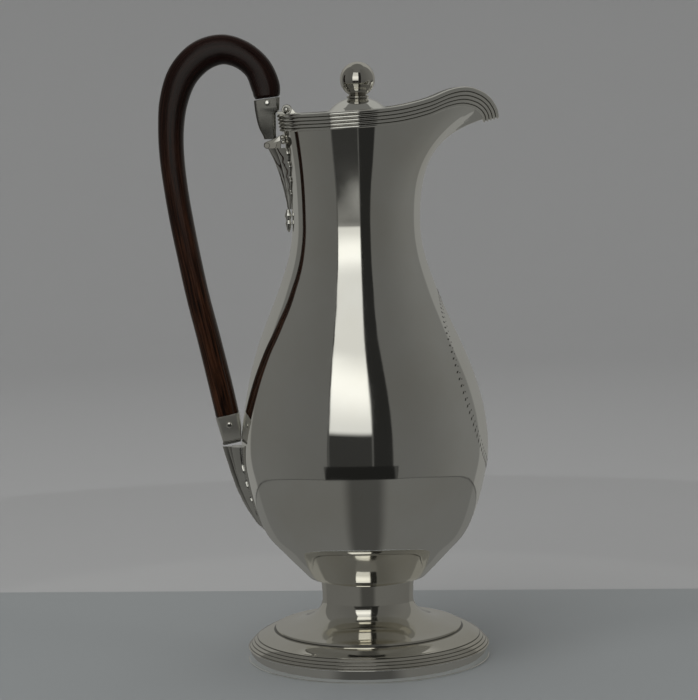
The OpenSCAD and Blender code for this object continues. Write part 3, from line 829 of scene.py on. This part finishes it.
def build_upper_socket():
    """The upper socket: it narrows downwards, and its sides turn from the handle's lean to upright."""
    rings = [section(8.2, 8.6, 0.9, UPPER_END + Vector((0, 0, -0.6)), UPPER_LEAN)]
    rings.append(section(12.8, 12.0, 1.0, UPPER_END + Vector((0, 0, -0.35)), UPPER_LEAN))
    for s in spread(0, 1, 14):
        z = SOCKET_TOP_Z - SOCKET_LENGTH * s
        left = curve(SOCKET_LEFT, z)
        right = min(curve(SOCKET_RIGHT, z), SOCKET_NECK_SIDE + 3 * ease(284.6, 285.6, z))
        depth = SOCKET_Y - 3.4 * s
        middle = Vector(((left + right) / 2, 0, z))
        rings.append(section(right - left, depth, 1.1, middle, UPPER_LEAN * max(0, 1 - 2.2 * s)))
    points, faces = skin(rings)
    mesh_piece("upper_socket_fine", points, faces, "root", "silver", SOCKET_SILVER, "upper_socket", sharp=28)
    points, faces = peg(UPPER_END, UPPER_LEAN, UPPER_PEG)
    mesh_piece("upper_socket_pin_fine", points, faces, "root", "silver", CAST, "upper_socket_pin")


def low_rings(rings):
    """Points and faces of a solid through rings set on the lower socket's axis, kept off the belly."""
    placed = []
    for w, d, cut, depth in rings:
        ring = section(w, d, cut, on_axis(LOWER_END, LOWER_LEAN, depth), LOWER_LEAN)
        placed.append([off_belly(p) for p in ring])
    return skin(placed)


def build_lower_socket():
    points, faces = low_rings(LOW_SOCKET_RINGS)
    mesh_piece("lower_socket_fine", points, faces, "root", "silver", LOW_SOCKET_SILVER, "lower_socket",
               sharp=28)
    points, faces = peg(LOWER_END, LOWER_LEAN, LOWER_PEG)
    mesh_piece("lower_socket_pin_fine", points, faces, "root", "silver", CAST, "lower_socket_pin")
    points, faces = low_rings(COLLAR_RINGS)
    mesh_piece("lower_collar_fine", points, faces, "root", "silver", SOCKET_SILVER, "lower_collar", sharp=28)


# ---- leaf mounts ----

# the upper leaf from its tip up, (height, depth, half width)
UPPER_LEAF = [(234.5, 1.6, 2), (239, 2.2, 4.6), (242.5, 2.8, 6.6), (244.5, 3.1, 5.6), (249, 4, 8.8),
              (251.5, 4.4, 7.4), (256.5, 5.6, 10.4), (259, 6.2, 8.8), (263, 7.6, 10.6), (266, 8.6, 9.4)]
# the lower leaf from its tip up, (height, outer radius, half width)
LOWER_LEAF = [(68, 53.9, 1), (71, 57, 2.2), (75, 59.8, 3.4), (79, 62.3, 3.6), (83, 64.4, 5), (86, 65.8, 4.4),
              (91, 67.9, 6.2), (94.5, 69, 5.2), (99, 70.5, 6.6), (103, 71.6, 5.6), (107.5, 73, 5.6),
              (112, 74.2, 5.2)]
LEAF_COLUMNS = 64
LEAF_ROWS = 110
LEAF_GAP = 0.15
LEAF_EDGE = 0.35
# degrees of the flutes' wave for each mm of height, and from the midrib to the edge
FLUTE_DRIFT = 8
FLUTE_TURN = 760
# the drop under the upper leaf, (height, radius)
DROP_X = -36.9
DROP = [(222.7, 0.3), (224, 0.95), (225.6, 1.3), (227.1, 1.65), (228.5, 1.25), (229.4, 1.3), (230.8, 1.75),
        (232.3, 1.6), (233.6, 1.1), (234.4, 0.9)]
# the fold under the upper socket, and the narrower filling in its hollow, (x, z)
SCROLL = [(-48.5, 266.8), (-48.4, 268.6), (-47.2, 269.4), (-45.3, 269.9), (-42.6, 271.2), (-40.4, 272.3),
          (-39.6, 271.6), (-40.2, 269.6), (-41.6, 268.9), (-42, 267.2), (-42.6, 265.8), (-44.6, 265.6),
          (-47.2, 265.8)]
SCROLL_BACK = [(-47, 265.7), (-45, 268), (-42, 271), (-39.8, 271.4), (-39.9, 265.7)]
SCROLL_HALF = 5.2
SCROLL_CURL = (-46.9, 267.4)
SCROLL_CURL_R = 1.5
# the pellets at each side, (x, z, radius)
SCROLL_PELLETS = [(-39, 271.4, 1.25), (-38.6, 269, 1.1)]
SCROLL_PELLETS_X = -40.4


def back_r(z):
    """Radius of the neck's outer face on the handle's side."""
    line = Rib(180)
    low, high = 0.0, 1.0
    for _ in range(24):
        mid = (low + high) / 2
        if line.point(mid).z < z:
            low = mid
        else:
            high = mid
    return -NECK_LEAN - line.point(low).x


def flute_depth(u, z):
    """Depth of the flutes, from 0 to 1, at height z and at share u of the way from midrib to edge."""
    wave = (0.5 - 0.5 * cosd(z * FLUTE_DRIFT + abs(u) * FLUTE_TURN)) * ease(0.62, 0.4, abs(u))
    return wave * ease(0.04, 0.12, abs(u))


def leaf(points, x_mid, surface, depth, name, node):
    """Acanthus leaf on a round surface: lobed edge, raised midrib, long flutes that drift to the lobes."""
    widths = [(p[0], p[2]) for p in points]
    rings, tone = [], []
    for z in spread(points[0][0], points[-1][0], LEAF_ROWS):
        r_in = surface(z) + LEAF_GAP
        half = curve(widths, z)
        d = depth(z)
        back, front, shade = [], [], []
        for i in range(LEAF_COLUMNS + 1):
            u = 2 * i / LEAF_COLUMNS - 1
            a = 180 - math.degrees(half / r_in) * u
            back.append(Vector((x_mid + r_in * cosd(a), r_in * sind(a), z)))
            flute = flute_depth(u, z)
            crown = (1 - u * u) ** 0.8
            midrib = math.exp(-((u / 0.14) ** 2))
            k = r_in + LEAF_EDGE + d * crown * (0.72 + 0.28 * midrib - 0.2 * flute)
            front.append(Vector((x_mid + k * cosd(a), k * sind(a), z)))
            # painted shade: the front darker in the deep flutes; the back below gets an even painted shade
            shade.append(0.15 + 0.8 * flute)
        rings.append(back + front[::-1])
        tone += [0.4] * len(back) + shade[::-1]
    solid = skin(rings)
    tone += [0, 0]
    mesh_piece(name, *solid, "root", "silver", CAST, node, tone, sharp=70)


def build_leaves():
    upper_depths = [(p[0], p[1]) for p in UPPER_LEAF]
    leaf(UPPER_LEAF, -NECK_LEAN, back_r, lambda z: curve(upper_depths, z), "upper_leaf_fine", "upper_leaf")
    lower_edges = [(p[0], p[1]) for p in LOWER_LEAF]
    leaf(LOWER_LEAF, 0, body_r, lambda z: max(curve(lower_edges, z) - body_r(z) - 0.8, 0.4),
         "lower_leaf_fine", "lower_leaf")


def build_drop():
    """The drop under the upper leaf: two swellings and a tip, turned in one piece."""
    rings = []
    for z in spread(DROP[0][0], DROP[-1][0], 60):
        r = curve(DROP, z)
        x = DROP_X - 0.02 * (z - NECK_Z)
        rings.append([Vector((x + r * cosd(a), r * sind(a), z)) for a in range(0, 360, 10)])
    mesh_piece("upper_leaf_beads_fine", *skin(rings), "root", "silver", CAST, "upper_leaf_beads", sharp=80)


def scroll_tone(p):
    """Painted shade: dark, except on the pellets and on the fold's side faces near the neck."""
    if abs(p[1]) < SCROLL_HALF - 0.5:
        return 0.85
    return 0.8 if p[0] < SCROLL_PELLETS_X else 0


def build_scroll():
    """The fold of metal under the upper socket, curled at its outer end, with two pellets at each side."""
    curl_x, curl_z = SCROLL_CURL
    parts = [plate(rounded(SCROLL, 0.5), -SCROLL_HALF, SCROLL_HALF)]
    parts.append(plate(rounded(SCROLL_BACK, 0.5), 0.9 - SCROLL_HALF, SCROLL_HALF - 0.9))
    roll, roll_faces = barrel(-SCROLL_HALF - 0.5, SCROLL_HALF + 0.5, SCROLL_CURL_R)
    to_curl = Matrix.Translation((curl_x + HINGE_X, 0, curl_z - HINGE_Z))
    parts.append((moved(roll, to_curl), roll_faces))
    for side in (-1, 1):
        for x, z, r in SCROLL_PELLETS:
            parts.append(ball((x, side * (SCROLL_HALF + 1.4), z), r, 32))
    points, faces = joined(*parts)
    tone = [scroll_tone(p) for p in points]
    mesh_piece("upper_scroll_fine", points, faces, "root", "silver", CAST, "upper_scroll", tone, sharp=35)


# ---- the engraved oval on the breast of the jug ----

OVAL_Z = 145
OVAL_HALF_W = 33
OVAL_HALF_H = 46
# rows of cuts: share of the oval's size, number of cuts, length and width in mm
OVAL_ROWS = ((1.0, 84, 3.2, 1.15), (0.93, 84, 1.5, 0.75))
# a cut's direction, as shares of straight out and along the oval
CUT_OUT = 0.9
CUT_ALONG = 0.43
CUT_MIDDLE = 0.2
CUT_FACES = [(0, 1, 4), (1, 2, 4), (2, 3, 4), (3, 0, 4), (1, 0, 5), (2, 1, 5), (3, 2, 5), (0, 3, 5)]


def on_breast(across, up, lift):
    """Point on the belly: across and up are measured from the oval's centre, lift is height over it."""
    z = OVAL_Z + up
    r = body_r(z) + lift
    a = math.degrees(across / body_r(OVAL_Z))
    return Vector((body_x(z) + r * cosd(a), r * sind(a), z))


def wedge(x, y, out, length, width):
    """One cut at (x, y) on the breast: a flat four-pointed wedge, slanted from the outward direction."""
    slant = Vector((out.x * CUT_OUT - out.y * CUT_ALONG, out.y * CUT_OUT + out.x * CUT_ALONG))
    side = Vector((-slant.y, slant.x))
    tips = [(-slant * length / 2, 0.01), (side * width / 2 + slant * CUT_MIDDLE, 0.01),
            (slant * length / 2, 0.01), (-side * width / 2 + slant * CUT_MIDDLE, 0.01),
            (slant * CUT_MIDDLE, 0.12)]
    points = [on_breast(x + p.x, y + p.y, lift) for p, lift in tips]
    points.append(on_breast(x, y, -0.1))
    return points, CUT_FACES


def build_engraving():
    """A plain bright-cut oval: two rings of small wedge cuts, one inside the other."""
    parts = []
    for scale, count, length, width in OVAL_ROWS:
        for i in range(count):
            a = 360 * i / count
            x, y = OVAL_HALF_W * scale * cosd(a), OVAL_HALF_H * scale * sind(a)
            out = Vector((cosd(a) / OVAL_HALF_W, sind(a) / OVAL_HALF_H)).normalized()
            parts.append(wedge(x, y, out, length, width))
    points, faces = joined(*parts)
    # painted shade: the cuts painted dark, as they look at a grazing angle
    tone = [0.85] * len(points)
    mesh_piece("engraved_oval", points, faces, "root", "silver", CAST, None, tone, sharp=10)


build_body()
build_rim_band()
build_foot_spool()
build_foot_step()
build_foot_reeds()
build_foot_band()
build_lid_shell()
build_finial()
build_hinge_plate()
build_hinge_leaf()
build_handle()
build_upper_socket()
build_lower_socket()
build_leaves()
build_drop()
build_scroll()
build_engraving()

# the CAD's own meshes that stay get a better material
for name, material in (("mouth_ledge", INSIDE), ("lid_bezel", INSIDE), ("finial_stud", INSIDE),
                       ("finial_nut", INSIDE), ("hinge_pin", CAST)):
    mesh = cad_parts[name].data
    mesh.materials.clear()
    mesh.materials.append(material)

# ---- camera, stage and light, in metres ----

EYE = Vector((-0.0072, -1.23, 0.292))
PITCH = 0.1061
ROLL = -0.021
FOCAL = 122.9
SENSOR = 36
SWEEP_RADIUS = 2.2
SWEEP_BEND = 0.8
SWEEP_TOP = 2.6
TABLE_STEP = 0.001
TABLE_HALF = 1.3
TABLE_BACK = 0.164
TABLE_SLOPE = 0.075
TENT_TINT = (1, 0.998, 0.94)
FRONT_R = 0.6
SIDE_R = 0.3
TENT_H = 0.85
CARD_R = 0.066
CARD_Z = 0.0008
# brightness of the tent's parts
SIDE_LIGHT = 0.112
RIGHT_ADDS, LEFT_ADDS = 0.045, 0.02
BACK_LIGHT = 0.235
BACK_TOP_ADDS = 0.12
TABLE_LIGHT = 0.13
TABLE_FRONT_LIGHT = 0.06
BACK_TABLE_LIGHT = 0.16
TABLE_RIM_LIGHT = 0.04
ROOM_LIGHT = 0.012
ROOF_LIGHT = 0.14
WINDOW_LIGHT = 0.7
SKY_LIGHT = 0.36
SILL_LIGHT = 0.03
JAMB_LIGHT = 0.018
NARROW_JAMB_LIGHT = 0.05
# places in the tent: azimuths in degrees from the camera's direction, counter-clockwise seen from above
WINDOW = (-32, 6)
DARK_EDGE = 24
ROOM = (-36, 26)
SHADED_TABLE = (-17, 15)
SKY = (0.3, 0.5)
BACK_TOP = (0.33, 0.5)
SILL_Z = 0.205
BACK_FROM, BACK_TO = 120.5, 123.5
TABLE_EDGE_R = 0.29


def build_camera():
    camera = bpy.data.objects.new("camera", bpy.data.cameras.new("camera"))
    bpy.context.scene.collection.objects.link(camera)
    camera.data.lens = FOCAL
    camera.data.sensor_width = SENSOR
    forward = Vector((0, math.cos(PITCH), -math.sin(PITCH)))
    right = Vector((1, 0, 0))
    up = right.cross(forward)
    across = math.cos(ROLL) * right + math.sin(ROLL) * up
    above = -math.sin(ROLL) * right + math.cos(ROLL) * up
    axes = Matrix((across, above, -forward)).transposed().to_4x4()
    camera.matrix_world = Matrix.Translation(EYE) @ axes
    bpy.context.scene.camera = camera


def stage_mesh(name, points, faces, material):
    """A part of the surroundings, from points in metres."""
    mesh = bpy.data.meshes.new(name)
    mesh.from_pydata(points, [], faces)
    obj = bpy.data.objects.new(name, mesh)
    bpy.context.scene.collection.objects.link(obj)
    mesh.materials.append(material)
    return obj


def build_sweep():
    """Plain pale sweep: a flat floor that curves up into a wall all round, just below the table's level."""
    flat = SWEEP_RADIUS - SWEEP_BEND
    profile = [(0, 0), (flat, 0)]
    profile += [(flat + SWEEP_BEND * sind(a), SWEEP_BEND - SWEEP_BEND * cosd(a)) for a in spread(10, 90, 8)]
    profile += [(SWEEP_RADIUS, SWEEP_TOP)]
    points, faces = [], []
    steps = 96
    for r, z in profile:
        for i in range(steps):
            a = 360 * i / steps
            points.append((r * cosd(a), r * sind(a), z - TABLE_STEP))
    for k in range(len(profile) - 1):
        for i in range(steps):
            i2 = (i + 1) % steps
            faces.append((k * steps + i, k * steps + i2, (k + 1) * steps + i2, (k + 1) * steps + i))
    sweep = stage_mesh("sweep", points, faces, plain_material("sweep_paper", (0.42, 0.42, 0.415), 0.6))
    for polygon in sweep.data.polygons:
        polygon.use_smooth = True


def build_table():
    """Plain floor under the jug, a shade darker than the sweep; it ends a hand's breadth behind the jug."""
    half, skew = TABLE_HALF, TABLE_HALF * TABLE_SLOPE
    corners = [(-half, -half, 0), (half, -half, 0), (half, TABLE_BACK - skew, 0),
               (-half, TABLE_BACK + skew, 0)]
    stage_mesh("table", corners, [(0, 1, 2, 3)], plain_material("table_top", (0.295, 0.31, 0.312), 0.5))


def between(a, b, u, soft):
    """1 between a and b and 0 outside, with soft edges."""
    return ease(a - soft, a + soft, u) * ease(b + soft, b - soft, u)


def tent_front(a, z):
    """Brightness of the front wall: a tall window, dark below its sill, with a dark jamb on each side.

    The window is brighter in a broad band at mid height. The jamb on the camera's right is the wide one.
    """
    sky = SILL_LIGHT + (WINDOW_LIGHT - SILL_LIGHT) * ease(SILL_Z - 0.015, SILL_Z + 0.015, z)
    sky += SKY_LIGHT * between(*SKY, z, 0.08)
    light = SIDE_LIGHT + (sky - SIDE_LIGHT) * between(*WINDOW, a, 0.7)
    light += (JAMB_LIGHT - light) * between(WINDOW[1] + 1, DARK_EDGE, a, 0.7)
    return light + (NARROW_JAMB_LIGHT - light) * between(WINDOW[0] - 1.6, WINDOW[0] - 0.4, a, 0.4)


def tent_side(a, z):
    """Brightness of the side and back walls, a little lighter on the camera's right."""
    from_front = min(a, 360 - a)
    side = SIDE_LIGHT + (RIGHT_ADDS if a < 180 else LEFT_ADDS) * ease(30, 110, from_front)
    back = BACK_LIGHT + BACK_TOP_ADDS * ease(*BACK_TOP, z)
    return side + (back - side) * ease(BACK_FROM, BACK_TO, from_front)


def tent_floor(a, r):
    """Brightness of the table in the tent, and of the dark room beyond its front edge."""
    front = between(*ROOM, a, 2)
    light = TABLE_LIGHT + (TABLE_FRONT_LIGHT - TABLE_LIGHT) * between(*SHADED_TABLE, a, 6)
    light += (BACK_TABLE_LIGHT - light) * ease(BACK_FROM, BACK_TO, abs(a))
    light += (ROOM_LIGHT - light) * front * ease(TABLE_EDGE_R - 0.005, TABLE_EDGE_R + 0.005, r)
    rim = ease(TABLE_EDGE_R + 0.003, TABLE_EDGE_R + 0.006, r)
    return light + (TABLE_RIM_LIGHT - light) * rim * (1 - front)


def tent_mesh(name, azimuths, rows, place, light):
    """One surface of the tent, seen only in reflections: light(azimuth, row) colours each point."""
    points = [place(a, row) for a in azimuths for row in rows]
    colours = []
    for a in azimuths:
        for row in rows:
            colours += [*(light(a, row) * t for t in TENT_TINT), 1]
    material = bpy.data.materials.new(name)
    material.use_nodes = True
    nodes, links = material.node_tree.nodes, material.node_tree.links
    nodes.clear()
    emit = nodes.new("ShaderNodeEmission")
    attribute = nodes.new("ShaderNodeAttribute")
    attribute.attribute_name = "light"
    links.new(attribute.outputs["Color"], emit.inputs["Color"])
    links.new(emit.outputs["Emission"], nodes.new("ShaderNodeOutputMaterial").inputs["Surface"])
    obj = stage_mesh(name, points, grid_faces(len(azimuths), len(rows), False, False), material)
    layer = obj.data.attributes.new("light", "FLOAT_COLOR", "POINT")
    layer.data.foreach_set("color", colours)
    obj.visible_camera = False
    obj.visible_shadow = False
    obj.visible_diffuse = False


def on_wall(radius):
    """Place of a wall's point at azimuth a and height z."""
    return lambda a, z: (radius * sind(a), -radius * cosd(a), z)


def on_level(height):
    """Place of a point at azimuth a and radius r on the floor or the roof."""
    return lambda a, r: (r * sind(a), -r * cosd(a), height)


def build_tent():
    """The light tent that the silver mirrors: a tall window to the front, grey sides, a lighter back."""
    heights = spread(0, TENT_H, 85)
    all_round = spread(-180, 180, 360)
    tent_mesh("tent_front", spread(-60, 60, 180), heights, on_wall(FRONT_R), tent_front)
    tent_mesh("tent_side", spread(27, 325, 298), heights, on_wall(SIDE_R), tent_side)
    tent_mesh("tent_floor", all_round, spread(CARD_R, FRONT_R, 90), on_level(CARD_Z), tent_floor)
    tent_mesh("tent_roof", all_round, spread(0, FRONT_R, 4), on_level(TENT_H), lambda a, r: ROOF_LIGHT)


def area(name, place, aim, size, power):
    """Soft lamp that lights the wood, the floor and the wall but is not mirrored in the silver."""
    light = bpy.data.lights.new(name, "AREA")
    light.shape = "RECTANGLE"
    light.size, light.size_y = size
    light.energy = power
    lamp = bpy.data.objects.new(name, light)
    bpy.context.scene.collection.objects.link(lamp)
    lamp.location = place
    lamp.rotation_euler = (Vector(aim) - Vector(place)).to_track_quat("-Z", "Y").to_euler()
    lamp.visible_glossy = False


def build_light():
    """A weak even sky, two soft lamps and the tent."""
    world = bpy.data.worlds.new("studio")
    world.use_nodes = True
    world.node_tree.nodes["Background"].inputs["Color"].default_value = (0.95, 0.97, 1, 1)
    world.node_tree.nodes["Background"].inputs["Strength"].default_value = 0.4
    bpy.context.scene.world = world
    bpy.context.scene.view_settings.view_transform = "Standard"
    area("key", (-0.6, -0.9, 1.6), (0, 0, 0.1), (1.2, 1.2), 12)
    area("top", (0, 0.2, 2.2), (0, 0.2, 0), (2.4, 2.4), 19)
    build_tent()


build_camera()
build_sweep()
build_table()
build_light()
